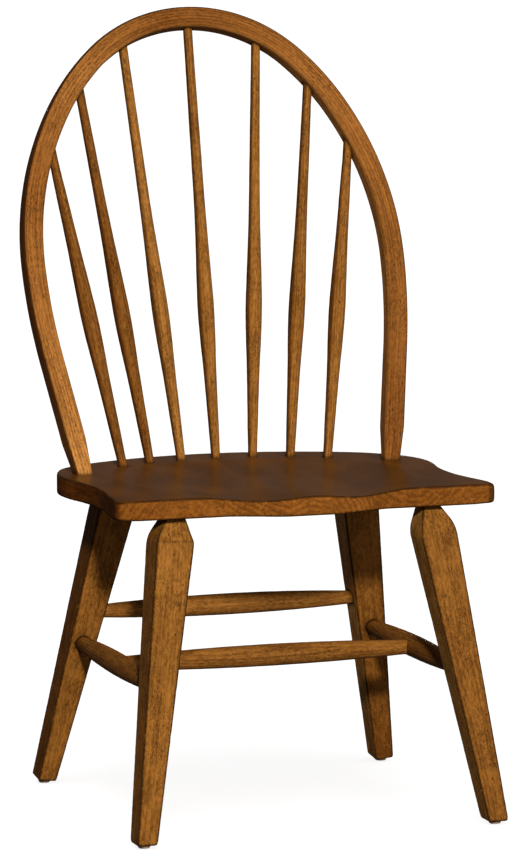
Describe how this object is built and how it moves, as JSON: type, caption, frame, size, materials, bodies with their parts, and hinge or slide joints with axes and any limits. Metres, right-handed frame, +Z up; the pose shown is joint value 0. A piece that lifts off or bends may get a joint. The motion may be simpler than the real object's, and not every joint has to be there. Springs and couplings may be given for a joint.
{
  "type": "windsor chair",
  "caption": "Wooden side chair with a bent bow back filled with swelling spindles, a saddled plank seat, splayed square legs and turned stretchers on foot pads.",
  "frame": {"origin": "on the floor, in the middle of the chair's width and depth", "axes": "+Z up, the front of the chair faces -Y, X runs from the chair's left side in the picture to its right, and X = 0 is the plane of symmetry"},
  "size_m": [0.5468, 0.6054, 1.0576],
  "materials": {
    "seat_wood": "dark brown stain under satin lacquer",
    "leg_wood": "warm brown stain, satin, with darker arrises",
    "bow_wood": "warm brown stain, satin, with darker arrises",
    "turned_wood": "warm brown stain, satin",
    "pads": "pale grey, matt"
  },
  "bodies": {
    "root": {"bow": "bow_wood", "leg_front_left": "leg_wood", "leg_front_right": "leg_wood", "leg_rear_left": "leg_wood", "leg_rear_right": "leg_wood", "pad_front_left": "pads", "pad_front_right": "pads", "pad_rear_left": "pads", "pad_rear_right": "pads", "seat_board_1": "seat_wood", "seat_board_2": "seat_wood", "seat_board_3": "seat_wood", "seat_board_4": "seat_wood", "seat_board_5": "seat_wood", "seat_board_6": "seat_wood", "spindle_1": "turned_wood", "spindle_2": "turned_wood", "spindle_3": "turned_wood", "spindle_4": "turned_wood", "spindle_5": "turned_wood", "spindle_6": "turned_wood", "spindle_7": "turned_wood", "stretcher_cross": "turned_wood", "stretcher_left": "turned_wood", "stretcher_rear": "turned_wood", "stretcher_right": "turned_wood"}
  },
  "joints": []
}
